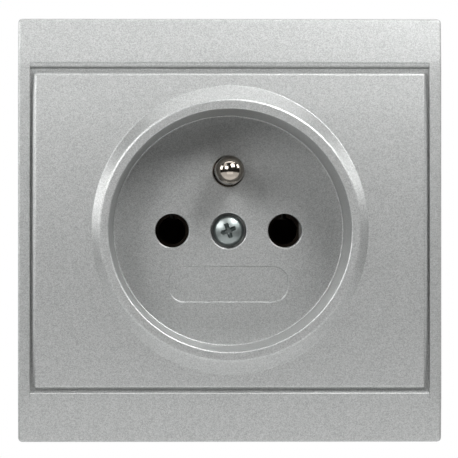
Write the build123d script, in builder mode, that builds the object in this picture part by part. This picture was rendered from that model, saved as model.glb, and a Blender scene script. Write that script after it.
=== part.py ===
from build123d import *
import os
from math import sqrt

# A modular wall socket: a trim frame, a crowned centre plate with a round well, and the insert behind it.
# X runs to the right, Z up and Y into the wall, in millimetres.
# The origin is the middle of the socket on the wall's face.
# Plane.XZ faces out of the wall: heights along it are in front of the wall, negative ones behind it.

# Trim frame
frame_size = 70.0
frame_corner_radius = 0.7
frame_edge_chamfer = 0.25
frame_wall = 1.6
side_bar_width = 1.95
end_bar_fillet = 1.0
ledge_width = 4.0
ledge_thickness = 1.6
frame_rib_thickness = 1.2
frame_rib_depth = 2.4
frame_rib_spacing = 40.0

# Crowned front, shared by the frame's end bars and the centre plate
crown_radius = 274.0
crown_front = 10.75

# Centre plate
groove_width = 0.5
groove_depth = 0.9
plate_corner_radius = 0.6
plate_edge_chamfer = 0.45
plate_wall = 1.8
locating_wall = 1.4
locating_clearance = 0.2
plate_rib_thickness = 1.0
plate_rib_count = 8

# Ring and well of the centre plate
rim_height = 1.25
rim_width = 1.6
ring_slope_width = 2.45
ring_margin = 2.2
mouth_diameter = 40.0
well_floor_diameter = 38.9
well_depth = 15.0
well_wall = 1.6
well_clearance = 0.7
floor_thickness = 2.0
recess_width = 20.0
recess_height = 6.0
recess_corner_radius = 2.5
recess_depth = 0.2
recess_drop = 9.0

# Pins of the plug and of the socket
pin_spacing = 19.0
pin_hole_diameter = 5.64
earth_pin_height = 10.0
earth_pin_diameter = 4.8
earth_pin_length = 14.0
earth_pin_clearance = 0.2
earth_neck_diameter = 4.2
earth_collar_diameter = 6.8
earth_collar_height = 1.7
earth_tail_diameter = 3.2
earth_tail_head_diameter = 4.0
earth_tail_head_height = 0.8

# Centre screw and its bush
screw_well_diameter = 5.92
screw_head_diameter = 5.2
screw_head_height = 1.8
screw_head_chamfer = 0.35
screw_head_sink = 0.4
screw_diameter = 3.0
screw_length = 10.0
screw_clearance = 0.2
screw_recess_length = 2.6
screw_recess_width = 0.7
screw_recess_depth = 1.1
screw_recess_taper = 12.0
screw_turn = 22.0
screw_boss_diameter = 9.2
bush_diameter = 5.4
bush_length = 9.0

# Support frame
support_thickness = 1.0
support_clearance = 0.4
support_corner_radius = 3.0
box_slot_margin = 3.0
box_slot_width = 3.4
box_slot_length = 4.4
earth_tab_width = 8.0
earth_tab_clearance = 0.05

# Contact cover
cover_thickness = 2.0
cover_gap = 0.4
cover_clearance = 0.5
boss_clearance = 0.1
cover_screw_drop = 12.5
cover_screw_diameter = 2.2
cover_screw_head_diameter = 4.4
cover_screw_length = 9.0
cover_screw_slot_width = 0.6
cover_screw_slot_depth = 0.5

# Socket base
base_depth = 28.0
base_wall = 2.8
base_corner_chamfer = 1.6
base_ring_wall = 1.6
deck_thickness = 2.2
ear_radius = 2.8
ear_thickness = 3.0
rear_wall = 3.0
pocket_clearance = 0.6
fit_clearance = 0.2
wire_hole_diameter = 3.2
rear_edge_chamfer = 0.8

# Rivets
rivet_count = 2
rivet_diameter = 2.5
rivet_head_diameter = 4.2
rivet_head_height = 0.8
rivet_clearance = 0.1

# Contacts
sleeve_bore = 4.6
sleeve_wall = 0.8
sleeve_slit = 0.8
sleeve_sink = 2.8
contact_strip_width = 5.0
contact_strip_thickness = 1.0
contact_strip_overlap = 2.0
clip_thickness = 0.4
clip_length = 5.0
clip_front = -11.0
clip_gap = 2.4

# Terminals
tongue_width = 4.6
tongue_thickness = 0.8
tongue_clearance = 0.6
tongue_overhang = 0.6
cage_width = 7.4
cage_bore_width = 5.0
cage_bore_height = 5.2
cage_wall = 1.2
cage_screw_wall = 1.4
cage_length = 7.0
cage_front = -11.6
terminal_screw_diameter = 3.5
terminal_screw_reach = 2.8
terminal_screw_head_diameter = 5.8
terminal_screw_head_height = 2.0
terminal_screw_gap = 0.2
terminal_slot_width = 0.9
terminal_slot_depth = 1.0
access_clearance = 0.3

# Earth strip
earth_strip_width = 10.6
earth_strip_thickness = 1.0
earth_strip_margin = 3.8


def crown_at(height):
    """Front of the crowned surface at a height above or below the middle."""
    return crown_front - crown_radius + sqrt(crown_radius**2 - height**2)


# Levels in front of the wall, and radii, that several pieces share
half_frame = frame_size / 2
opening_width = frame_size - 2 * side_bar_width
mouth_radius = mouth_diameter / 2
rim_radius = mouth_radius + rim_width
plate_width = opening_width - 2 * groove_width
plate_height = 2 * (rim_radius + ring_slope_width + ring_margin)
opening_height = plate_height + 2 * groove_width
half_opening = opening_height / 2
side_bar_front = crown_at(half_opening)
ledge_front = side_bar_front - groove_depth
ledge_back = ledge_front - ledge_thickness
ledge_opening_width = opening_width - 2 * ledge_width
ledge_opening_height = opening_height - 2 * ledge_width
rim_front = crown_front + rim_height
floor_front = rim_front - well_depth
floor_back = floor_front - floor_thickness
cover_front = floor_back - cover_gap
deck_front = cover_front - cover_thickness
floor_radius = well_floor_diameter / 2
tube_radius = max(mouth_radius, floor_radius) + well_wall
pin_hole_radius = pin_hole_diameter / 2
earth_pin_radius = earth_pin_diameter / 2
insert_radius = tube_radius + well_clearance
crown_axis = Location((0, crown_radius - crown_front, 0), (0, 90, 0))

os.makedirs("parts", exist_ok=True)

# Outer frame: a square tray open in the middle. The side bars are flat and the end bars carry on the
# plate's crown, so a soft crease runs across each corner. The rounded inner edge of an end bar stops at
# the side bars, and the plate's skirt stands on the ledge inside the opening.
inner_size = frame_size - 2 * frame_wall
support_size = inner_size - 2 * support_clearance
box_screw_spacing = support_size - 2 * box_slot_margin
bar_middle = (half_frame + half_opening) / 2
fillet_height = half_opening + end_bar_fillet
fillet_reach = crown_radius - end_bar_fillet
fillet_front = crown_front - crown_radius + sqrt(fillet_reach**2 - fillet_height**2)
flare_height = fillet_height * crown_radius / fillet_reach

with BuildPart() as outer_frame:
    with BuildSketch(Plane.YZ):
        with BuildLine():
            Line((0, half_frame), (0, -half_frame))
            Line((0, -half_frame), (-crown_at(half_frame), -half_frame))
            ThreePointArc(
                (-crown_at(half_frame), -half_frame),
                (-crown_at(bar_middle), -bar_middle),
                (-side_bar_front, -half_opening),
            )
            Line((-side_bar_front, -half_opening), (-side_bar_front, half_opening))
            ThreePointArc(
                (-side_bar_front, half_opening),
                (-crown_at(bar_middle), bar_middle),
                (-crown_at(half_frame), half_frame),
            )
            Line((-crown_at(half_frame), half_frame), (0, half_frame))
        make_face()
    extrude(amount=half_frame, both=True)
    corners = outer_frame.edges().filter_by(Axis.Y)
    fillet(corners, frame_corner_radius)
    outline = outer_frame.faces().sort_by(Axis.Y)[-1].edges()
    creases = outer_frame.edges().filter_by(Axis.X).filter_by_position(Axis.Z, -half_opening, half_opening)
    uprights = outer_frame.edges().filter_by(Axis.Y)
    chamfer(outer_frame.edges() - outline - creases - uprights, frame_edge_chamfer)

    with BuildSketch(Plane.YZ):
        with BuildLine():
            Line((-ledge_front, -half_opening), (-ledge_front, half_opening))
            Line((-ledge_front, half_opening), (-fillet_front, half_opening))
            TangentArc((-fillet_front, half_opening), (-crown_at(flare_height), flare_height), tangent=(-1, 0))
            Line((-crown_at(flare_height), flare_height), (-rim_front, flare_height))
            Line((-rim_front, flare_height), (-rim_front, -flare_height))
            Line((-rim_front, -flare_height), (-crown_at(flare_height), -flare_height))
            TangentArc((-fillet_front, -half_opening), (-crown_at(flare_height), -flare_height), tangent=(-1, 0))
            Line((-fillet_front, -half_opening), (-ledge_front, -half_opening))
        make_face()
    extrude(amount=opening_width / 2, both=True, mode=Mode.SUBTRACT)

    with BuildSketch(Plane.XZ):
        Rectangle(ledge_opening_width, ledge_opening_height)
        Circle(insert_radius)
    extrude(amount=rim_front, mode=Mode.SUBTRACT)
    with BuildSketch(Plane.XZ):
        Rectangle(inner_size, inner_size)
    extrude(amount=ledge_back, mode=Mode.SUBTRACT)

    rib_row = inner_size - frame_rib_depth
    with BuildSketch(Plane.XZ.offset(support_thickness)):
        with GridLocations(frame_rib_spacing, rib_row, 2, 2):
            Rectangle(frame_rib_thickness, frame_rib_depth)
        with GridLocations(rib_row, frame_rib_spacing, 2, 2):
            Rectangle(frame_rib_depth, frame_rib_thickness)
    extrude(amount=ledge_back - support_thickness)
outer_frame.part.label = "outer_frame"
export_step(outer_frame.part, "parts/outer_frame.step")

# Space under the centre plate, which leaves a shell with a skirt all round.
with BuildPart() as plate_hollow:
    with BuildSketch(Plane.XZ.offset(ledge_front)):
        Rectangle(plate_width - 2 * plate_wall, plate_height - 2 * plate_wall)
    extrude(amount=rim_front - ledge_front)
    with Locations(crown_axis):
        Cylinder(crown_radius - plate_wall, frame_size, mode=Mode.INTERSECT)

# Centre plate: one moulding. The crowned plate stands with its skirt on the frame's ledge, a wall behind
# it drops inside the ledge, and the well hangs from the raised ring down to a floor with the pin holes.
ring_foot_front = crown_at(plate_height / 2)
ring_foot_radius = rim_radius + rim_front - ring_foot_front
screw_seat = floor_front - screw_head_sink - screw_head_height
locating_width = ledge_opening_width - 2 * locating_clearance
locating_height = ledge_opening_height - 2 * locating_clearance
rib_length = locating_width / 2 - tube_radius
earth_hole_radius = earth_pin_radius + earth_pin_clearance
shank_hole_radius = screw_diameter / 2 + screw_clearance

with BuildPart() as centre_plate:
    with BuildSketch(Plane.XZ.offset(ledge_front)):
        RectangleRounded(plate_width, plate_height, plate_corner_radius)
    extrude(amount=rim_front - ledge_front)
    with Locations(crown_axis):
        Cylinder(crown_radius, frame_size, mode=Mode.INTERSECT)
    crown = centre_plate.faces().filter_by(GeomType.CYLINDER).sort_by(SortBy.AREA)[-1]
    chamfer(crown.edges(), plate_edge_chamfer)

    # Ring with a slope of 45 degrees, which sinks into the crowned plate.
    with BuildSketch(Plane.XY):
        with BuildLine():
            Polyline(
                (0, -rim_front),
                (rim_radius, -rim_front),
                (ring_foot_radius, -ring_foot_front),
                (0, -ring_foot_front),
                close=True,
            )
        make_face()
    revolve(axis=Axis.Y)

    # Hollow back, locating wall and ribs.
    add(plate_hollow.part, mode=Mode.SUBTRACT)
    with BuildSketch(Plane.XZ.offset(ledge_back)):
        Rectangle(locating_width, locating_height)
        Rectangle(locating_width - 2 * locating_wall, locating_height - 2 * locating_wall, mode=Mode.SUBTRACT)
    extrude(amount=ring_foot_front - ledge_back)
    with BuildSketch(Plane.XZ.offset(ledge_back)):
        with PolarLocations(tube_radius + rib_length / 2 - locating_wall, plate_rib_count):
            Rectangle(rib_length, plate_rib_thickness)
        Rectangle(locating_width, locating_height, mode=Mode.INTERSECT)
    extrude(amount=ring_foot_front - ledge_back)

    # Well: a tube with a floor, drafted inside.
    with BuildSketch(Plane.XZ.offset(floor_back)):
        Circle(tube_radius)
    extrude(amount=ring_foot_front - floor_back)
    with BuildSketch(Plane.XY):
        with BuildLine():
            Polyline(
                (0, -rim_front),
                (mouth_radius, -rim_front),
                (floor_radius, -floor_front),
                (0, -floor_front),
                close=True,
            )
        make_face()
    revolve(axis=Axis.Y, mode=Mode.SUBTRACT)

    # Boss and seat of the centre screw, pin holes and the pill-shaped recess.
    with BuildSketch(Plane.XZ.offset(deck_front)):
        Circle(screw_boss_diameter / 2)
    extrude(amount=floor_back - deck_front)
    with BuildSketch(Plane.XZ.offset(screw_seat)):
        Circle(screw_well_diameter / 2)
    extrude(amount=floor_front - screw_seat, mode=Mode.SUBTRACT)
    with BuildSketch(Plane.XZ.offset(deck_front)):
        Circle(shank_hole_radius)
    extrude(amount=screw_seat - deck_front, mode=Mode.SUBTRACT)
    with BuildSketch(Plane.XZ.offset(floor_back)):
        with GridLocations(pin_spacing, 0, 2, 1):
            Circle(pin_hole_radius)
        with Locations((0, earth_pin_height)):
            Circle(earth_hole_radius)
    extrude(amount=floor_thickness, mode=Mode.SUBTRACT)
    with BuildSketch(Plane.XZ.offset(floor_front)):
        with Locations((0, -recess_drop)):
            RectangleRounded(recess_width, recess_height, recess_corner_radius)
    extrude(amount=-recess_depth, mode=Mode.SUBTRACT)
centre_plate.part.label = "centre_plate"
export_step(centre_plate.part, "parts/centre_plate.step")

# Centre screw: bevelled head with a cross recess, seated in the plate and threaded into the bush.
screw_head_front = floor_front - screw_head_sink
screw_head_radius = screw_head_diameter / 2
screw_tip = screw_seat - screw_length

with BuildPart() as centre_screw:
    with BuildSketch(Plane.XY):
        with BuildLine():
            Polyline(
                (0, -screw_head_front),
                (screw_head_radius - screw_head_chamfer, -screw_head_front),
                (screw_head_radius, -screw_head_front + screw_head_chamfer),
                (screw_head_radius, -screw_seat),
                (screw_diameter / 2, -screw_seat),
                (screw_diameter / 2, -screw_tip),
                (0, -screw_tip),
                close=True,
            )
        make_face()
    revolve(axis=Axis.Y)
    with BuildSketch(Plane.XZ.offset(screw_head_front)):
        with Locations(Location((0, 0, 0), (0, 0, screw_turn))):
            Rectangle(screw_recess_length, screw_recess_width)
            Rectangle(screw_recess_width, screw_recess_length)
    extrude(amount=-screw_recess_depth, taper=screw_recess_taper, mode=Mode.SUBTRACT)
centre_screw.part.label = "centre_screw"
export_step(centre_screw.part, "parts/centre_screw.step")

# Centre bush: threaded brass bush, pressed flush into the base under the plate's boss.
bush_back = deck_front - bush_length

with BuildPart() as centre_bush:
    with BuildSketch(Plane.XZ.offset(bush_back)):
        Circle(bush_diameter / 2)
    extrude(amount=bush_length)
    with BuildSketch(Plane.XZ.offset(bush_back)):
        Circle(screw_diameter / 2)
    extrude(amount=bush_length, mode=Mode.SUBTRACT)
centre_bush.part.label = "centre_bush"
export_step(centre_bush.part, "parts/centre_bush.step")

# Places of the terminals: each cage stands on the base's end wall, and the tongue of its contact lies
# against the cage's inner wall, clear of the riveted end of the earth pin.
tongue_start = earth_pin_height + earth_tail_head_diameter / 2 + tongue_clearance
tongue_end = tongue_start + tongue_thickness
cage_start = tongue_start - cage_wall
cage_bore_end = tongue_start + cage_bore_height
cage_end = cage_bore_end + cage_screw_wall
base_end = cage_end + base_wall
cage_back = cage_front - cage_length
terminal_screw_front = cage_front - cage_length / 2
wire_line = (tongue_end + cage_bore_end) / 2
pole_offset = pin_spacing / 2
sleeve_radius = sleeve_bore / 2 + sleeve_wall
pocket_radius = sleeve_radius + clip_thickness + pocket_clearance
cage_pocket_width = cage_width + 2 * fit_clearance
pocket_back = -base_depth + rear_wall

# Support frame: pressed steel, screwed to the wall box. A tab bent back from its opening presses on the
# earth strip.
strip_front = deck_front - earth_collar_height
strip_back = strip_front - earth_strip_thickness
tab_start = insert_radius + earth_tab_clearance
rivet_circle = insert_radius + base_ring_wall + rivet_head_diameter / 2 + rivet_clearance

with BuildPart() as support_frame:
    with BuildSketch(Plane.XZ):
        RectangleRounded(support_size, support_size, support_corner_radius)
        Circle(insert_radius, mode=Mode.SUBTRACT)
        with GridLocations(box_screw_spacing, 0, 2, 1):
            SlotOverall(box_slot_length, box_slot_width, mode=Mode.SUBTRACT)
        with GridLocations(0, box_screw_spacing, 1, 2):
            SlotOverall(box_slot_length, box_slot_width, rotation=90, mode=Mode.SUBTRACT)
        with PolarLocations(rivet_circle, rivet_count, start_angle=45):
            Circle(rivet_diameter / 2, mode=Mode.SUBTRACT)
    extrude(amount=support_thickness)
    with BuildSketch(Plane.XZ.offset(strip_front)):
        with Locations((0, tab_start + support_thickness / 2)):
            Rectangle(earth_tab_width, support_thickness)
    extrude(amount=support_thickness - strip_front)
support_frame.part.label = "support_frame"
export_step(support_frame.part, "parts/support_frame.step")

# Socket base: a shallow cup behind the support frame, with a block behind it for the line contacts and
# a narrower one above for the earth terminal. The terminals' screws are reached from below and above.
block_half_width = pole_offset + pocket_radius + base_wall
earth_pocket_start = earth_pin_height - earth_tail_head_diameter / 2 - tongue_clearance
earth_block_half_width = earth_strip_width / 2 + fit_clearance + base_wall
earth_recess_start = earth_pin_height - earth_strip_margin - fit_clearance
earth_recess_end = tongue_end + fit_clearance
line_block_top = pocket_radius + base_wall
pad_half_width = earth_tab_width / 2 + base_wall
pad_end = tab_start + support_thickness + base_wall / 2
deck_back = deck_front - deck_thickness
pad_back = strip_back - deck_thickness / 2
rail_half_width = earth_tab_width / 2 + fit_clearance
access_radius = terminal_screw_head_diameter / 2 + access_clearance
ring_outer_radius = insert_radius + base_ring_wall
tab_slot_end = tab_start + support_thickness + fit_clearance

with BuildPart() as socket_base:
    # Ears, cup and the pad that guides the earth tab.
    with BuildSketch(Plane.XZ):
        with PolarLocations(rivet_circle, rivet_count, start_angle=45):
            Circle(ear_radius)
        with PolarLocations(rivet_circle / 2, rivet_count, start_angle=45):
            Rectangle(rivet_circle, 2 * ear_radius)
    extrude(amount=-ear_thickness)
    with BuildSketch(Plane.XZ):
        Circle(ring_outer_radius)
    extrude(amount=deck_back)
    with BuildSketch(Plane.XZ):
        with Locations((0, pad_end / 2)):
            Rectangle(2 * pad_half_width, pad_end)
    extrude(amount=pad_back)
    with BuildSketch(Plane.XZ):
        Circle(insert_radius)
    extrude(amount=deck_front, mode=Mode.SUBTRACT)

    # Blocks behind the deck.
    with BuildSketch(Plane.XZ.offset(deck_front)) as block_outline:
        with Locations((0, (line_block_top - base_end) / 2)):
            Rectangle(2 * block_half_width, line_block_top + base_end)
        with Locations((0, base_end / 2)):
            Rectangle(2 * earth_block_half_width, base_end)
        chamfer(block_outline.vertices(), base_corner_chamfer)
    extrude(amount=-base_depth - deck_front)

    # Pockets for the line contacts and the earth terminal, open to the deck.
    with BuildSketch(Plane.XZ.offset(deck_front)):
        with GridLocations(pin_spacing, 0, 2, 1):
            Circle(pocket_radius)
        with Locations((-pole_offset, -cage_end / 2), (pole_offset, -cage_end / 2)):
            Rectangle(cage_pocket_width, cage_end)
    extrude(amount=pocket_back - deck_front, mode=Mode.SUBTRACT)
    with BuildSketch(Plane.XZ.offset(deck_front)):
        with Locations((0, (earth_pocket_start + cage_end) / 2)):
            Rectangle(cage_pocket_width, cage_end - earth_pocket_start)
    extrude(amount=pocket_back - deck_front, mode=Mode.SUBTRACT)

    # Recess of the earth strip, and the slot of the tab that lands on it.
    with BuildSketch(Plane.XZ.offset(deck_front)):
        with Locations((0, (earth_recess_start + earth_recess_end) / 2)):
            Rectangle(earth_strip_width + 2 * fit_clearance, earth_recess_end - earth_recess_start)
        with Locations((0, tab_slot_end / 2 + earth_recess_start / 2)):
            Rectangle(2 * rail_half_width, tab_slot_end - earth_recess_start)
    extrude(amount=strip_back - deck_front, mode=Mode.SUBTRACT)
    with BuildSketch(Plane.XZ):
        with Locations((0, tab_slot_end - insert_radius / 2)):
            Rectangle(2 * rail_half_width, insert_radius)
    extrude(amount=deck_front, mode=Mode.SUBTRACT)

    # Seat of the bush, with room for the screw's end behind it.
    with BuildSketch(Plane.XZ.offset(deck_front)):
        Circle(bush_diameter / 2)
    extrude(amount=-bush_length, mode=Mode.SUBTRACT)
    with BuildSketch(Plane.XZ.offset(bush_back)):
        Circle(shank_hole_radius)
    extrude(amount=screw_tip - bush_back - screw_diameter, mode=Mode.SUBTRACT)

    # Holes for the cover screw, rivets and wires.
    with BuildSketch(Plane.XZ.offset(deck_front)):
        with Locations((0, -cover_screw_drop)):
            Circle(cover_screw_diameter / 2)
    extrude(amount=-cover_screw_length, mode=Mode.SUBTRACT)
    with BuildSketch(Plane.XZ):
        with PolarLocations(rivet_circle, rivet_count, start_angle=45):
            Circle(rivet_diameter / 2)
    extrude(amount=-ear_thickness, mode=Mode.SUBTRACT)
    with BuildSketch(Plane.XZ.offset(-base_depth)):
        with Locations((-pole_offset, -wire_line), (pole_offset, -wire_line), (0, wire_line)):
            Circle(wire_hole_diameter / 2)
    extrude(amount=rear_wall, mode=Mode.SUBTRACT)
    rear_face = socket_base.faces().sort_by(Axis.Y)[-1]
    chamfer(rear_face.edges().filter_by(GeomType.CIRCLE, reverse=True), rear_edge_chamfer)

    # Access holes for the terminal screws.
    with BuildSketch(Plane.XY.offset(-base_end)):
        with Locations((-pole_offset, -terminal_screw_front), (pole_offset, -terminal_screw_front)):
            Circle(access_radius)
    extrude(amount=base_wall, mode=Mode.SUBTRACT)
    with BuildSketch(Plane.XY.offset(base_end)):
        with Locations((0, -terminal_screw_front)):
            Circle(access_radius)
    extrude(amount=-base_wall, mode=Mode.SUBTRACT)
socket_base.part.label = "socket_base"
export_step(socket_base.part, "parts/socket_base.step")

# Base rivets: they hold the base's ears to the back of the support frame.
with BuildPart() as base_rivets:
    with BuildSketch(Plane.XZ.offset(-ear_thickness)):
        with PolarLocations(rivet_circle, rivet_count, start_angle=45):
            Circle(rivet_diameter / 2)
    extrude(amount=ear_thickness + support_thickness)
    with BuildSketch(Plane.XZ.offset(support_thickness), Plane.XZ.offset(-ear_thickness - rivet_head_height)):
        with PolarLocations(rivet_circle, rivet_count, start_angle=45):
            Circle(rivet_head_diameter / 2)
    extrude(amount=rivet_head_height)
base_rivets.part.label = "base_rivets"
export_step(base_rivets.part, "parts/base_rivets.step")

# Contact cover: black insulating disc behind the well's floor, which is as wide as the floor and its wall.
cover_radius = floor_radius + well_wall + well_clearance - cover_clearance
boss_hole_radius = screw_boss_diameter / 2 + boss_clearance

with BuildPart() as contact_cover:
    with BuildSketch(Plane.XZ.offset(deck_front)):
        Circle(cover_radius)
        Circle(boss_hole_radius, mode=Mode.SUBTRACT)
        with GridLocations(pin_spacing, 0, 2, 1):
            Circle(pin_hole_radius, mode=Mode.SUBTRACT)
        with Locations((0, earth_pin_height)):
            Circle(earth_hole_radius, mode=Mode.SUBTRACT)
    extrude(amount=cover_thickness)
    cover_face = Plane.XZ.offset(cover_front)
    with Locations(cover_face):
        with Locations((0, -cover_screw_drop)):
            CounterSinkHole(cover_screw_diameter / 2, cover_screw_head_diameter / 2, cover_thickness)
contact_cover.part.label = "contact_cover"
export_step(contact_cover.part, "parts/contact_cover.step")

# Cover screw: countersunk, flush with the cover's front.
cover_head_radius = cover_screw_head_diameter / 2
cover_head_height = cover_head_radius - cover_screw_diameter / 2

with BuildPart() as cover_screw:
    with BuildSketch(Plane.XZ.offset(deck_front - cover_screw_length)):
        with Locations((0, -cover_screw_drop)):
            Circle(cover_screw_diameter / 2)
    extrude(amount=cover_screw_length + cover_thickness)
    head_place = Plane.XZ.offset(cover_front - cover_head_height / 2)
    with Locations(head_place):
        with Locations((0, -cover_screw_drop)):
            Cone(cover_screw_diameter / 2, cover_head_radius, cover_head_height)
    with BuildSketch(Plane.XZ.offset(cover_front)):
        with Locations((0, -cover_screw_drop)):
            Rectangle(cover_screw_head_diameter, cover_screw_slot_width)
    extrude(amount=-cover_screw_slot_depth, mode=Mode.SUBTRACT)
cover_screw.part.label = "cover_screw"
export_step(cover_screw.part, "parts/cover_screw.step")

# Line contacts: a brass strip rolled into a slit sleeve, with a foot on the pocket's floor and a tongue
# bent forwards into the terminal's cage. A spring steel clip grips each sleeve.
sleeve_front = deck_front - sleeve_sink
strip_top = pocket_back + contact_strip_thickness
tongue_front = cage_front + tongue_overhang
clip_radius = sleeve_radius + clip_thickness
for pole_name, side in (("live", 1), ("neutral", -1)):
    pole = side * pole_offset
    with BuildPart() as line_contact:
        with BuildSketch(Plane.XZ.offset(strip_top)):
            with Locations((pole, 0)):
                Circle(sleeve_radius)
                Circle(sleeve_bore / 2, mode=Mode.SUBTRACT)
            with Locations((pole, sleeve_radius / 2 + sleeve_bore / 4)):
                Rectangle(sleeve_slit, sleeve_radius, mode=Mode.SUBTRACT)
        extrude(amount=sleeve_front - strip_top)
        with BuildSketch(Plane.XZ.offset(pocket_back)):
            with Locations((pole, (contact_strip_overlap - tongue_end) / 2)):
                Rectangle(contact_strip_width, contact_strip_overlap + tongue_end)
        extrude(amount=contact_strip_thickness)
        with BuildSketch(Plane.XZ.offset(strip_top)):
            with Locations((pole, -tongue_end + tongue_thickness / 2)):
                Rectangle(tongue_width, tongue_thickness)
        extrude(amount=tongue_front - strip_top)
    line_contact.part.label = f"{pole_name}_contact"
    export_step(line_contact.part, f"parts/{pole_name}_contact.step")

    with BuildPart() as contact_clip:
        with BuildSketch(Plane.XZ.offset(clip_front)):
            with Locations((pole, 0)):
                Circle(clip_radius)
                Circle(sleeve_radius, mode=Mode.SUBTRACT)
            with Locations((pole, clip_radius / 2)):
                Rectangle(clip_gap, clip_radius, mode=Mode.SUBTRACT)
        extrude(amount=-clip_length)
    contact_clip.part.label = f"{pole_name}_contact_clip"
    export_step(contact_clip.part, f"parts/{pole_name}_contact_clip.step")

# Earth pin: turned and nickel plated, with a round tip. The plate lifts off over it. A thinner neck goes
# through the floor and the cover, a collar is held between the cover and the earth strip, and the tail is
# riveted over behind it.
earth_tip_front = floor_front + earth_pin_length
earth_tail_back = strip_back - earth_tail_head_height

with BuildPart() as earth_pin:
    with BuildSketch(Plane.XY.offset(earth_pin_height)):
        with BuildLine():
            Line((0, -earth_tail_back), (0, -earth_tip_front))
            CenterArc((0, earth_pin_radius - earth_tip_front), earth_pin_radius, -90, 90)
            Polyline(
                (earth_pin_radius, earth_pin_radius - earth_tip_front),
                (earth_pin_radius, -floor_front),
                (earth_neck_diameter / 2, -floor_front),
                (earth_neck_diameter / 2, -deck_front),
                (earth_collar_diameter / 2, -deck_front),
                (earth_collar_diameter / 2, -strip_front),
                (earth_tail_diameter / 2, -strip_front),
                (earth_tail_diameter / 2, -strip_back),
                (earth_tail_head_diameter / 2, -strip_back),
                (earth_tail_head_diameter / 2, -earth_tail_back),
                (0, -earth_tail_back),
            )
        make_face()
    revolve(axis=Axis((0, 0, earth_pin_height), (0, 1, 0)))
earth_pin.part.label = "earth_pin"
export_step(earth_pin.part, "parts/earth_pin.step")

# Earth strip: lies in the deck's recess under the cover. A tongue lanced from its middle is bent back
# into the earth terminal, and its end lies under the support frame's tab.
earth_strip_start = earth_pin_height - earth_strip_margin
earth_tongue_back = cage_back - tongue_overhang
lance_end = tongue_end + strip_back - earth_tongue_back
strip_end = tab_start + support_thickness

with BuildPart() as earth_strip:
    with BuildSketch(Plane.XZ.offset(strip_back)):
        with Locations((0, (earth_strip_start + tongue_end) / 2)):
            Rectangle(earth_strip_width, tongue_end - earth_strip_start)
        with Locations((0, (earth_strip_start + strip_end) / 2)):
            Rectangle(earth_tab_width, strip_end - earth_strip_start)
        with Locations((0, (tongue_end + lance_end) / 2)):
            Rectangle(tongue_width, lance_end - tongue_end, mode=Mode.SUBTRACT)
        with Locations((0, earth_pin_height)):
            Circle(earth_tail_diameter / 2, mode=Mode.SUBTRACT)
    extrude(amount=earth_strip_thickness)
    with BuildSketch(Plane.XZ.offset(strip_back)):
        with Locations((0, tongue_end - tongue_thickness / 2)):
            Rectangle(tongue_width, tongue_thickness)
    extrude(amount=earth_tongue_back - strip_back)
earth_strip.part.label = "earth_strip"
export_step(earth_strip.part, "parts/earth_strip.step")

# Terminals: folded brass cages on the base's end walls, each with a slotted clamp screw from outside.
terminal_head_start = cage_end + terminal_screw_gap
terminal_head_end = terminal_head_start + terminal_screw_head_height
terminal_tip = cage_end - terminal_screw_reach
for pole_name, pole, direction in (("live", pole_offset, -1), ("neutral", -pole_offset, -1), ("earth", 0, 1)):
    with BuildPart() as terminal:
        with BuildSketch(Plane.XZ.offset(cage_back)):
            with Locations((pole, direction * (cage_start + cage_end) / 2)):
                Rectangle(cage_width, cage_end - cage_start)
            with Locations((pole, direction * (tongue_start + cage_bore_end) / 2)):
                Rectangle(cage_bore_width, cage_bore_height, mode=Mode.SUBTRACT)
        extrude(amount=cage_length)
        with BuildSketch(Plane.XY.offset(direction * cage_bore_end)):
            with Locations((pole, -terminal_screw_front)):
                Circle(terminal_screw_diameter / 2)
        extrude(amount=direction * cage_screw_wall, mode=Mode.SUBTRACT)
    terminal.part.label = f"{pole_name}_terminal"
    export_step(terminal.part, f"parts/{pole_name}_terminal.step")

    with BuildPart() as terminal_screw:
        with BuildSketch(Plane.XY.offset(direction * terminal_tip)):
            with Locations((pole, -terminal_screw_front)):
                Circle(terminal_screw_diameter / 2)
        extrude(amount=direction * (terminal_head_start - terminal_tip))
        with BuildSketch(Plane.XY.offset(direction * terminal_head_start)):
            with Locations((pole, -terminal_screw_front)):
                Circle(terminal_screw_head_diameter / 2)
        extrude(amount=direction * terminal_screw_head_height)
        with BuildSketch(Plane.XY.offset(direction * terminal_head_end)):
            with Locations((pole, -terminal_screw_front)):
                Rectangle(terminal_screw_head_diameter, terminal_slot_width)
        extrude(amount=-direction * terminal_slot_depth, mode=Mode.SUBTRACT)
    terminal_screw.part.label = f"{pole_name}_terminal_screw"
    export_step(terminal_screw.part, f"parts/{pole_name}_terminal_screw.step")
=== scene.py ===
import math

import bmesh
import bpy
from mathutils import Matrix, Vector


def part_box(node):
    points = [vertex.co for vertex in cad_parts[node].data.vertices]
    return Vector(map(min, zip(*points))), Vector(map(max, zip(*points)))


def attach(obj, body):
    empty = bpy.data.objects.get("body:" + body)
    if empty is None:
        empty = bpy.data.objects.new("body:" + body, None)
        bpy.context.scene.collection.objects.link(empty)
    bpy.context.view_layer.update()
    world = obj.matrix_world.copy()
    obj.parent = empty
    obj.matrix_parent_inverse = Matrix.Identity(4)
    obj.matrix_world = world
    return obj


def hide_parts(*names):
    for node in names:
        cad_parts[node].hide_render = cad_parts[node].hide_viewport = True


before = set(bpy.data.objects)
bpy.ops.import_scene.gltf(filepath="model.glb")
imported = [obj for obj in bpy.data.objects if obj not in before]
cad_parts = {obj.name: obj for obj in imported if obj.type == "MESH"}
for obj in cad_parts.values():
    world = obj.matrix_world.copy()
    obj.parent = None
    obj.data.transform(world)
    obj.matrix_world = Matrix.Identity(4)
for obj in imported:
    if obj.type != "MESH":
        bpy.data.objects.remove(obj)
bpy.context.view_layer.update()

# Socket base
# The insulating body in the wall box: a cup with a block of contact pockets behind it.
# Pale grey moulded plastic with a fine spark-eroded skin and slightly rounded mould edges.
mm = 0.001


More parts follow.
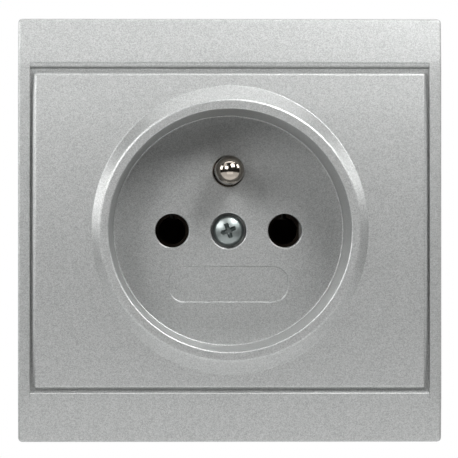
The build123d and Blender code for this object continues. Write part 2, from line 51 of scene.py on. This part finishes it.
def solid_form(node):
    """The solid of a node as one clean mesh, with its coincident corners joined and its flats undivided."""
    join_gap = 0.002 * mm
    flat_angle = math.radians(0.3)
    form = bmesh.new()
    form.from_mesh(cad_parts[node].data)
    bmesh.ops.remove_doubles(form, verts=form.verts, dist=join_gap)
    bmesh.ops.dissolve_limit(
        form, angle_limit=flat_angle, use_dissolve_boundaries=False, verts=form.verts, edges=form.edges
    )
    return form


def new_object(form, name, finish):
    """An object in the scene with a form as its mesh and one material."""
    mesh = bpy.data.meshes.new(name)
    form.to_mesh(mesh)
    form.free()
    mesh.materials.clear()
    mesh.materials.append(finish)
    item = bpy.data.objects.new(name, mesh)
    bpy.context.scene.collection.objects.link(item)
    return item


def set_piece(form, name, node, finish):
    """Makes the piece that stands for a node, with sharp edges kept sharp and curved ones smooth."""
    sharp_angle = math.radians(28)
    for face in form.faces:
        face.smooth = True
    for edge in form.edges:
        edge.smooth = edge.calc_face_angle(math.pi) < sharp_angle
    piece = new_object(form, name, finish)
    attributes = piece.data.attributes
    if "custom_normal" in attributes:
        attributes.remove(attributes["custom_normal"])
    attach(piece, "root")
    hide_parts(node)
    return piece


def break_edges(piece, width, segments=2, angle=30, limit="ANGLE"):
    """Takes the sharpness off a piece's edges, all those past an angle or the ones that were marked."""
    bevel = piece.modifiers.new("broken_edges", "BEVEL")
    bevel.width = width
    bevel.segments = segments
    bevel.limit_method = limit
    bevel.angle_limit = math.radians(angle)
    bevel.use_clamp_overlap = limit == "ANGLE"
    bevel.harden_normals = True
    even = piece.modifiers.new("even_shading", "WEIGHTED_NORMAL")
    even.keep_sharp = True


def new_finish(name):
    """A material with its nodes, its shader and a link function."""
    finish = bpy.data.materials.new(name)
    finish.use_nodes = True
    nodes = finish.node_tree.nodes
    shader = nodes["Principled BSDF"]
    return finish, nodes, shader, finish.node_tree.links.new


def new_group(name, inputs, outputs):
    """A shader node group with float inputs and outputs, named with their defaults."""
    group = bpy.data.node_groups.new(name, "ShaderNodeTree")
    for label, value in inputs:
        socket = group.interface.new_socket(label, in_out="INPUT", socket_type="NodeSocketFloat")
        socket.default_value = value
    for label in outputs:
        group.interface.new_socket(label, in_out="OUTPUT", socket_type="NodeSocketFloat")
    source = group.nodes.new("NodeGroupInput")
    sink = group.nodes.new("NodeGroupOutput")
    return group, group.nodes, source, sink, group.links.new


def use_group(nodes, group):
    """A group's node in a material."""
    skin = nodes.new("ShaderNodeGroup")
    skin.node_tree = group
    return skin


def colour_between(nodes, link, shader, factor, dark, light):
    """Gives a shader a colour that goes from a dark to a light tone with a factor."""
    tone = nodes.new("ShaderNodeMix")
    tone.data_type = "RGBA"
    tone.inputs["A"].default_value = (*dark, 1)
    tone.inputs["B"].default_value = (*light, 1)
    link(factor, tone.inputs["Factor"])
    link(tone.outputs["Result"], shader.inputs["Base Color"])


def relief(nodes, link, shader, height, strength, depth):
    """Gives a shader a fine relief from a height."""
    bump = nodes.new("ShaderNodeBump")
    bump.inputs["Strength"].default_value = strength
    bump.inputs["Distance"].default_value = depth
    link(height, bump.inputs["Height"])
    link(bump.outputs["Normal"], shader.inputs["Normal"])
    return bump


# Skin of a mould: fine spark erosion for the height, and slow flow marks in the tone
mould_skin, nodes, source, sink, link = new_group(
    "mould_skin", [("Grain per metre", 5000), ("Flow per metre", 60)], ["Height", "Flow"]
)
place = nodes.new("ShaderNodeTexCoord")
grain = nodes.new("ShaderNodeTexNoise")
grain.inputs["Detail"].default_value = 2
link(place.outputs["Object"], grain.inputs["Vector"])
link(source.outputs["Grain per metre"], grain.inputs["Scale"])
flow = nodes.new("ShaderNodeTexNoise")
flow.inputs["Detail"].default_value = 3
flow.inputs["Distortion"].default_value = 0.6
link(place.outputs["Object"], flow.inputs["Vector"])
link(source.outputs["Flow per metre"], flow.inputs["Scale"])
link(grain.outputs["Fac"], sink.inputs["Height"])
link(flow.outputs["Fac"], sink.inputs["Flow"])


def moulded_finish(name, dark, light, roughness, grain_per_metre):
    """Moulded plastic between two tones, with the mould's skin."""
    finish, nodes, shader, link = new_finish(name)
    skin = use_group(nodes, mould_skin)
    skin.inputs["Grain per metre"].default_value = grain_per_metre
    colour_between(nodes, link, shader, skin.outputs["Flow"], dark, light)
    relief(nodes, link, shader, skin.outputs["Height"], strength=0.25, depth=0.02 * mm)
    shader.inputs["Roughness"].default_value = roughness
    return finish


grey_plastic = moulded_finish(
    "pale_grey_plastic", (0.56, 0.555, 0.53), (0.66, 0.655, 0.63), roughness=0.5, grain_per_metre=4500
)
base = set_piece(solid_form("socket_base"), "base_moulding", "socket_base", grey_plastic)
break_edges(base, 0.2 * mm)

# Line contacts
# Bronze strip rolled into a slit sleeve for the plug's pin, with a foot on the pocket's floor and a tongue
# for the terminal. Stamped and bent. Its near-black tone is painted shade, so the pin holes look black.
plating, nodes, source, sink, link = new_group(
    "plating", [("Cloud per metre", 400), ("Scratch per metre", 2500)], ["Cloud", "Scratch"]
)
place = nodes.new("ShaderNodeTexCoord")
cloud = nodes.new("ShaderNodeTexNoise")
cloud.inputs["Detail"].default_value = 4
link(place.outputs["Object"], cloud.inputs["Vector"])
link(source.outputs["Cloud per metre"], cloud.inputs["Scale"])
drawn = nodes.new("ShaderNodeMapping")
drawn.inputs["Scale"].default_value = (1, 0.06, 1)
link(place.outputs["Object"], drawn.inputs["Vector"])
scratch = nodes.new("ShaderNodeTexNoise")
scratch.inputs["Detail"].default_value = 2
link(drawn.outputs["Vector"], scratch.inputs["Vector"])
link(source.outputs["Scratch per metre"], scratch.inputs["Scale"])
link(cloud.outputs["Fac"], sink.inputs["Cloud"])
link(scratch.outputs["Fac"], sink.inputs["Scratch"])


def roughness_between(nodes, link, shader, value, smooth, rough):
    """Gives a shader a roughness that goes from smooth to rough with a value."""
    spread = nodes.new("ShaderNodeMapRange")
    spread.inputs["To Min"].default_value = smooth
    spread.inputs["To Max"].default_value = rough
    link(value, spread.inputs["Value"])
    link(spread.outputs["Result"], shader.inputs["Roughness"])


def metal_finish(name, dark, light, smooth, rough, scratch_depth=0.004 * mm):
    """Bare or plated metal between two tones and two roughnesses, with fine drawing marks."""
    finish, nodes, shader, link = new_finish(name)
    skin = use_group(nodes, plating)
    colour_between(nodes, link, shader, skin.outputs["Cloud"], dark, light)
    roughness_between(nodes, link, shader, skin.outputs["Scratch"], smooth, rough)
    relief(nodes, link, shader, skin.outputs["Scratch"], strength=0.3, depth=scratch_depth)
    shader.inputs["Metallic"].default_value = 1
    return finish


# Near-black tones: painted shade for the dark inside of the pin holes, not the colour of bronze.
painted_shade_bronze = metal_finish(
    "painted_shade_bronze", (0.020, 0.016, 0.012), (0.040, 0.031, 0.024), smooth=0.42, rough=0.60
)
for pole in ("live", "neutral"):
    node = f"{pole}_contact"
    sleeve = set_piece(solid_form(node), f"{pole}_sleeve", node, painted_shade_bronze)
    break_edges(sleeve, 0.1 * mm)

# Contact clips
# Open rings of blank spring steel round the sleeves, which keep their grip on the pins.
# Sheared from strip and rolled, with a dark rolled skin.
blank_spring = metal_finish("blank_spring", (0.28, 0.285, 0.30), (0.42, 0.43, 0.45), smooth=0.25, rough=0.45)
for pole in ("live", "neutral"):
    node = f"{pole}_contact_clip"
    clip = set_piece(solid_form(node), f"{pole}_spring_ring", node, blank_spring)
    break_edges(clip, 0.06 * mm)

# Terminals
# Folded brass cages that take the wires from behind, each with a slotted clamp screw.
# The screws are zinc plated steel and are reached through holes in the base.
sheet_brass = metal_finish("sheet_brass", (0.62, 0.44, 0.19), (0.80, 0.61, 0.30), smooth=0.22, rough=0.40)
bright_zinc = metal_finish("bright_zinc", (0.50, 0.53, 0.58), (0.68, 0.71, 0.76), smooth=0.20, rough=0.38)
for pole in ("live", "neutral", "earth"):
    node = f"{pole}_terminal"
    cage = set_piece(solid_form(node), f"{pole}_cage", node, sheet_brass)
    break_edges(cage, 0.25 * mm, segments=3)
    node = f"{pole}_terminal_screw"
    clamp = set_piece(solid_form(node), f"{pole}_clamp_screw", node, bright_zinc)
    break_edges(clamp, 0.15 * mm, segments=3)

# Earth strip
# Flat brass under the cover that joins the earth pin, the earth terminal and the support frame's tab.
# Stamped, with one tongue bent back.
strip = set_piece(solid_form("earth_strip"), "earth_link", "earth_strip", sheet_brass)
break_edges(strip, 0.1 * mm)

# Centre bush
# Brass bush with a thread for the centre screw, turned from bar.
# It is pressed into the base, in the middle between the contacts.
bush = set_piece(solid_form("centre_bush"), "threaded_bush", "centre_bush", sheet_brass)
break_edges(bush, 0.15 * mm)

# Earth pin
# Turned brass, nickel plated, with a round tip and a neck through the floor, riveted to the earth strip.
# The plating is warm, with faint drawing marks along the shaft.
nickel = metal_finish(
    "warm_nickel",
    (0.34, 0.302, 0.264),
    (0.41, 0.37, 0.322),
    smooth=0.09,
    rough=0.14,
    scratch_depth=0.0006 * mm,
)
pin = set_piece(solid_form("earth_pin"), "earth_pin_turned", "earth_pin", nickel)
break_edges(pin, 0.12 * mm, angle=40)

# Contact cover
# Black insulating disc over the contact pockets, seen only through the pin holes and from the front
# when the plate is off. Moulded, with a fine matt skin, held by one countersunk screw.
cover_plastic = moulded_finish(
    "cover_plastic", (0.012, 0.012, 0.013), (0.022, 0.022, 0.023), roughness=0.55, grain_per_metre=5000
)
cover = set_piece(solid_form("contact_cover"), "contact_lid", "contact_cover", cover_plastic)
break_edges(cover, 0.15 * mm)
cover_screw = set_piece(solid_form("cover_screw"), "lid_screw", "cover_screw", bright_zinc)
break_edges(cover_screw, 0.08 * mm)

# Insulating slip
# A thin slip of grey pressed fibre that lies on the cover beside the live pin's hole, where its edge shows.
# Punched from sheet with round corners, and kept by the plate's floor just in front of it.
slip_width = 1.6 * mm
slip_height = 9.0 * mm
slip_corner = 0.5 * mm
slip_gauge = 0.30 * mm
slip_x = 12.75 * mm
slip_form = bmesh.new()
bmesh.ops.create_grid(slip_form, x_segments=1, y_segments=1, size=0.5)
bmesh.ops.scale(slip_form, vec=(slip_width, slip_height, 1), verts=slip_form.verts)
bmesh.ops.bevel(
    slip_form,
    geom=slip_form.verts[:],
    offset=slip_corner,
    segments=5,
    profile=0.5,
    affect="VERTICES",
    material=-1,
)
upright = Matrix.Rotation(math.radians(90), 3, "X")
bmesh.ops.rotate(slip_form, cent=(0, 0, 0), matrix=upright, verts=slip_form.verts)
bmesh.ops.solidify(slip_form, geom=slip_form.faces[:], thickness=slip_gauge)
cover_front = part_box("contact_cover")[0].y
slip_back = max(vert.co.y for vert in slip_form.verts)
bmesh.ops.translate(slip_form, vec=(slip_x, cover_front - slip_back, 0), verts=slip_form.verts)
bmesh.ops.recalc_face_normals(slip_form, faces=slip_form.faces)
pressed_fibre = moulded_finish(
    "pressed_fibre", (0.11, 0.108, 0.10), (0.16, 0.157, 0.15), roughness=0.7, grain_per_metre=3500
)
slip = new_object(slip_form, "insulating_slip", pressed_fibre)
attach(slip, "root")

# Support frame
# Pressed steel plate that screws to the wall box and carries the base. Zinc plated after pressing,
# with sheared edges a little rounded.
plate_zinc = metal_finish("plate_zinc", (0.45, 0.47, 0.50), (0.62, 0.64, 0.67), smooth=0.28, rough=0.46)
support = set_piece(solid_form("support_frame"), "support_plate", "support_frame", plate_zinc)
break_edges(support, 0.12 * mm)

# Base rivets
# Two zinc plated steel rivets through the base's ears and the support frame, which hold the two together.
# Their heads are rounded on both ends.
rivets = set_piece(solid_form("base_rivets"), "rivet_pair", "base_rivets", bright_zinc)
break_edges(rivets, 0.4 * mm, segments=4)

# Outer frame
# The trim frame on the wall: a moulded tray with flat side bars and crowned end bars.
# Satin silver paint with fine metal flake over plastic. The lower bar's edge at the plate is drawn tighter.
silver_flake, nodes, source, sink, link = new_group(
    "silver_flake", [("Flakes per metre", 8500)], ["Flake", "Glint", "Cloud"]
)
place = nodes.new("ShaderNodeTexCoord")
flake = nodes.new("ShaderNodeTexVoronoi")
flake.feature = "F1"
link(place.outputs["Object"], flake.inputs["Vector"])
link(source.outputs["Flakes per metre"], flake.inputs["Scale"])
tilt = nodes.new("ShaderNodeSeparateColor")
link(flake.outputs["Color"], tilt.inputs["Color"])
cloud = nodes.new("ShaderNodeTexNoise")
cloud.inputs["Scale"].default_value = 900
cloud.inputs["Detail"].default_value = 3
link(place.outputs["Object"], cloud.inputs["Vector"])
link(tilt.outputs["Red"], sink.inputs["Flake"])
link(tilt.outputs["Green"], sink.inputs["Glint"])
link(cloud.outputs["Fac"], sink.inputs["Cloud"])


def reckon(nodes, link, operation, *values):
    """A maths node that takes sockets and plain numbers."""
    step = nodes.new("ShaderNodeMath")
    step.operation = operation
    for entry, value in zip(step.inputs, values):
        if isinstance(value, (int, float)):
            entry.default_value = value
        else:
            link(value, entry)
    return step.outputs["Value"]


flake_share = 0.8
cloud_share = 0.2
satin_silver, nodes, shader, link = new_finish("satin_silver_paint")
skin = use_group(nodes, silver_flake)
soft = reckon(nodes, link, "MULTIPLY", skin.outputs["Cloud"], cloud_share)
grains = reckon(nodes, link, "MULTIPLY_ADD", skin.outputs["Flake"], flake_share, soft)
colour_between(nodes, link, shader, grains, (0.298, 0.304, 0.301), (0.533, 0.542, 0.538))
roughness_between(nodes, link, shader, skin.outputs["Glint"], smooth=0.34, rough=0.44)
bump = relief(nodes, link, shader, skin.outputs["Glint"], strength=0.12, depth=0.01 * mm)
corner = nodes.new("ShaderNodeBevel")
corner.samples = 6
corner.inputs["Radius"].default_value = 0.18 * mm
link(corner.outputs["Normal"], bump.inputs["Normal"])
shader.inputs["Metallic"].default_value = 0.75

trim_form = solid_form("outer_frame")
touch = 0.01 * mm
groove_width = 0.5 * mm
bar_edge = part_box("centre_plate")[0].z - groove_width
soft_radius = 1.0 * mm
soft_y = -8.34 * mm
tight_radius = 0.3 * mm
tight_y = -9.12 * mm
arc_start = math.radians(14)
arc_end = math.radians(89)
for vert in trim_form.verts:
    inward = vert.co.z - (bar_edge - soft_radius)
    ahead = soft_y - vert.co.y
    turn = math.atan2(ahead, inward)
    on_arc = abs(math.hypot(inward, ahead) - soft_radius) < touch
    if on_arc and arc_start < turn < arc_end:
        turn = math.pi / 2 * (turn - arc_start) / (arc_end - arc_start)
        vert.co.y = tight_y - tight_radius * math.sin(turn)
        vert.co.z = bar_edge - tight_radius + tight_radius * math.cos(turn)
trim = set_piece(trim_form, "trim_frame", "outer_frame", satin_silver)
break_edges(trim, 0.12 * mm, segments=3, angle=20)

# Centre plate
# The crowned plate with its ring and well, moulded in one piece and painted like the frame.
# Its skirt stands on the frame's ledge and the centre screw holds it. The mould's corners are rounded.
plate_form = solid_form("centre_plate")
plate_low, plate_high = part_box("centre_plate")
rim_y = plate_low.y
screw_sink = 0.4 * mm
floor_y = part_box("centre_screw")[0].y - screw_sink
face_back = -8.5 * mm
mouth_reach = 20.0 * mm
floor_reach = mouth_reach - 1.5 * mm
ring_reach = 26.0 * mm
hole_row = 4 * mm
pill_depth = 0.25 * mm
plate_crease = math.radians(18)


def plate_rounding(edge):
    """The rounding of one edge of the plate, in millimetres, from where it lies."""
    if edge.calc_face_angle(0) < plate_crease:
        return 0
    first, second = (vert.co for vert in edge.verts)
    middle = (first + second) / 2
    reach = math.hypot(middle.x, middle.z)
    if max(abs(first.y - rim_y), abs(second.y - rim_y)) < touch:
        return 0.28
    if max(abs(first.y - floor_y), abs(second.y - floor_y)) < touch:
        at_wall = reach > floor_reach
        at_hole = abs(middle.z) < hole_row or middle.z > 0
        return 0.22 if at_wall else 0.20 if at_hole else 0.07
    in_pill = floor_y < middle.y < floor_y + pill_depth and reach < mouth_reach
    if in_pill:
        return 0.05
    off_border = abs(middle.x) < plate_high.x - mm and abs(middle.z) < plate_high.z - mm
    at_ring_foot = middle.y < face_back and reach < ring_reach and off_border
    return 0 if at_ring_foot else 0.12


weight = plate_form.edges.layers.float.new("bevel_weight_edge")
for edge in plate_form.edges:
    edge[weight] = plate_rounding(edge)
plate = set_piece(plate_form, "well_plate", "centre_plate", satin_silver)
break_edges(plate, 1.0 * mm, segments=3, limit="WEIGHT")

# Centre screw
# Zinc plated steel with a domed head and a cross recess, sunk in the well's floor. It draws the plate onto
# the base. The head is formed cold, so its crown is smooth, and its passivated skin has a thin clear gloss.
screw_form = solid_form("centre_screw")
head_low, head_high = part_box("centre_screw")
head_edge = head_high.x - 0.35 * mm
head_crown = 0.40 * mm
head_rounding = 0.1
head_crease = math.radians(20)
recess_reach = 1.3 * mm
recess_half = 0.35 * mm
recess_depth = 1.1 * mm
recess_middle = 0.7 * mm
recess_wall = 0.12 * mm
recess_slope = 0.8 * mm
recess_turn = math.radians(20)
crown_steps = 30


def on_front(face):
    """Whether a face is part of the front of the solid's head, which is flat with a plain cross."""
    deepest = head_low.y + recess_depth + 0.05 * mm
    return all(
        vert.co.y < deepest and math.hypot(vert.co.x, vert.co.z) < head_edge + touch for vert in face.verts
    )


def crown_y(flat, reach):
    """Where the crown or the floor of its cross lies along the screw, at a place across it."""
    if not reach:
        return head_low.y + recess_middle
    along = abs(flat.x * math.cos(recess_turn) + flat.z * math.sin(recess_turn))
    across = abs(flat.z * math.cos(recess_turn) - flat.x * math.sin(recess_turn))
    sunk = 0
    for long_way, cross_way in ((along, across), (across, along)):
        wall = min(1, max(0, (recess_half - cross_way) / recess_wall))
        slope = min(1, max(0, (recess_reach - long_way) / recess_slope))
        sunk = max(sunk, recess_depth * wall * slope)
    return head_low.y - head_crown * (1 - (reach / head_edge) ** 2) + sunk


front = [face for face in screw_form.faces if on_front(face)]
bmesh.ops.delete(screw_form, geom=front, context="FACES")
crown_ring = [edge for edge in screw_form.edges if edge.is_boundary]
bmesh.ops.subdivide_edges(screw_form, edges=crown_ring, cuts=2)
crown_ring = [edge for edge in screw_form.edges if edge.is_boundary]
for step in range(crown_steps):
    grown = bmesh.ops.extrude_edge_only(screw_form, edges=crown_ring)["geom"]
    crown_ring = [item for item in grown if isinstance(item, bmesh.types.BMEdge) and item.is_boundary]
    reach = head_edge * (1 - (step + 1) / crown_steps)
    for vert in [item for item in grown if isinstance(item, bmesh.types.BMVert)]:
        flat = Vector((vert.co.x, 0, vert.co.z)).normalized() * reach
        vert.co = Vector((flat.x, crown_y(flat, reach), flat.z))
bmesh.ops.remove_doubles(screw_form, verts=screw_form.verts, dist=0.001 * mm)
bmesh.ops.recalc_face_normals(screw_form, faces=screw_form.faces)
weight = screw_form.edges.layers.float.new("bevel_weight_edge")
for edge in screw_form.edges:
    outside = all(math.hypot(vert.co.x, vert.co.z) > head_edge - touch for vert in edge.verts)
    edge[weight] = head_rounding if outside and edge.calc_face_angle(0) > head_crease else 0
passivated_zinc = metal_finish(
    "passivated_zinc",
    (0.20, 0.230, 0.226),
    (0.275, 0.306, 0.302),
    smooth=0.32,
    rough=0.44,
    scratch_depth=0.002 * mm,
)
gloss = passivated_zinc.node_tree.nodes["Principled BSDF"].inputs
gloss["Coat Weight"].default_value = 0.8
gloss["Coat Roughness"].default_value = 0.05
screw = set_piece(screw_form, "middle_screw", "centre_screw", passivated_zinc)
break_edges(screw, 1.0 * mm, segments=3, limit="WEIGHT")

# Floor
# A plain pale table well below the socket, white in reflections and pale to the camera, which still takes
# the socket's shadow.
floor_half = 9
floor_z = -0.60


def shown_white(nodes, link, camera_share):
    """One for rays that are mirrored or let through, and a share of it for the camera's."""
    rays = nodes.new("ShaderNodeLightPath").outputs
    seen = reckon(nodes, link, "MULTIPLY", rays["Is Camera Ray"], camera_share)
    mirrored = reckon(nodes, link, "MAXIMUM", rays["Is Glossy Ray"], rays["Is Transmission Ray"])
    return reckon(nodes, link, "MAXIMUM", seen, mirrored)


floor_finish, nodes, shader, link = new_finish("floor_white")
shader.inputs["Base Color"].default_value = (0.8, 0.8, 0.8, 1)
shader.inputs["Roughness"].default_value = 0.9
white = nodes.new("ShaderNodeEmission")
white.inputs["Strength"].default_value = 1
either = nodes.new("ShaderNodeMixShader")
link(shown_white(nodes, link, 0.8), either.inputs["Fac"])
link(shader.outputs["BSDF"], either.inputs[1])
link(white.outputs["Emission"], either.inputs[2])
link(either.outputs["Shader"], nodes["Material Output"].inputs["Surface"])
floor_form = bmesh.new()
bmesh.ops.create_grid(floor_form, x_segments=1, y_segments=1, size=floor_half)
bmesh.ops.translate(floor_form, verts=floor_form.verts, vec=(0, 0, floor_z))
floor = new_object(floor_form, "floor", floor_finish)

# Hood
# A dark cloth hood round the front, as photographers hang for shiny things. It is there for what metal and
# paint mirror, so only reflections see it.
hood_radius = 2.0
hood_back = 0.1
hood_foot = -0.7
hood_finish, nodes, shader, link = new_finish("hood_cloth")
shader.inputs["Base Color"].default_value = (0.05, 0.045, 0.04, 1)
shader.inputs["Roughness"].default_value = 0.9
hood_form = bmesh.new()
bmesh.ops.create_uvsphere(hood_form, u_segments=48, v_segments=24, radius=hood_radius)
middles = {face: face.calc_center_median() for face in hood_form.faces}
open_sides = [face for face, middle in middles.items() if middle.y > hood_back or middle.z < hood_foot]
bmesh.ops.delete(hood_form, geom=open_sides, context="FACES")
hood = new_object(hood_form, "hood", hood_finish)
hood.visible_camera = False
hood.visible_diffuse = False
hood.visible_shadow = False

# Light
# A soft studio, as the pin mirrors it: boxes at the upper right and the left, a strip overhead and one in
# front of it, white cards at the sides, the bright table in front and below, and two boxes behind.


def direction(turn, rise):
    """The way from the socket to a place at a turn from the front and a rise, in degrees."""
    side, up = math.radians(turn), math.radians(rise)
    return Vector((math.sin(side) * math.cos(up), -math.cos(side) * math.cos(up), math.sin(up)))


def aim(item, target):
    """Turns a light or a camera to a target."""
    item.rotation_euler = (target - item.location).to_track_quat("-Z", "Y").to_euler()


def soft_light(name, turn, rise, reach, size, power):
    """A rectangular light that faces the socket, with its reach and size in metres and its power in watts."""
    lamp = bpy.data.lights.new(name, "AREA")
    lamp.shape = "RECTANGLE"
    lamp.size, lamp.size_y = size
    lamp.energy = power
    light = bpy.data.objects.new(name, lamp)
    light.location = direction(turn, rise) * reach
    aim(light, Vector((0, 0, 0)))
    light.visible_camera = False
    bpy.context.scene.collection.objects.link(light)
    return light


soft_light("right_box", 25, 35, 0.7, (0.28, 0.28), 3.95)
soft_light("left_box", -28, 18, 1.0, (0.40, 0.35), 3.7)
soft_light("overhead_strip", 0, 89, 1.0, (1.40, 0.25), 2.4)
soft_light("front_strip", 0, 66, 1.0, (1.40, 0.20), 2.2)
soft_light("high_left_card", -45, 35, 1.0, (0.45, 0.45), 0.7)
soft_light("left_card", -75, 15, 1.0, (0.40, 0.40), 3.0)
soft_light("right_card", 75, 25, 1.0, (0.40, 0.40), 2.3)
soft_light("table_edge", 0, -26, 1.0, (0.90, 0.40), 0.75)
soft_light("table_below", 0, -80, 0.51, (0.80, 0.40), 0.25)
for behind in (
    soft_light("back_right_box", 140, 30, 1.0, (0.50, 0.50), 4.0),
    soft_light("back_left_box", -140, 20, 1.0, (0.50, 0.50), 2.0),
):
    behind.visible_glossy = False

world = bpy.data.worlds.new("white_studio")
bpy.context.scene.world = world
world.use_nodes = True
nodes, link = world.node_tree.nodes, world.node_tree.links.new
ambient = nodes["Background"]
ambient.inputs["Color"].default_value = (1, 1, 1, 1)
ambient.inputs["Strength"].default_value = 0.2
backdrop = nodes.new("ShaderNodeBackground")
backdrop.inputs["Color"].default_value = (1, 1, 1, 1)
backdrop.inputs["Strength"].default_value = 1
either = nodes.new("ShaderNodeMixShader")
link(shown_white(nodes, link, 1), either.inputs["Fac"])
link(ambient.outputs["Background"], either.inputs[1])
link(backdrop.outputs["Background"], either.inputs[2])
link(either.outputs["Shader"], nodes["World Output"].inputs["Surface"])
bpy.context.scene.view_settings.view_transform = "Standard"

# Camera
# Nearly square on, a little to the left and low, with a long lens at 0.65 m.
# The lens is set so that the trim frame fills most of the picture's width.
front_low, front_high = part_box("outer_frame")
distance = 0.65
frame_share = 423.5 / 458
target = Vector((-0.157 * mm, front_low.y, 0.21 * mm))
lens = bpy.data.cameras.new("camera")
lens.sensor_width = 36
lens.lens = lens.sensor_width * frame_share * distance / (front_high.x - front_low.x)
camera = bpy.data.objects.new("camera", lens)
camera.location = target + direction(-1.15, -0.3) * distance
aim(camera, target)
bpy.context.scene.collection.objects.link(camera)
bpy.context.scene.camera = camera
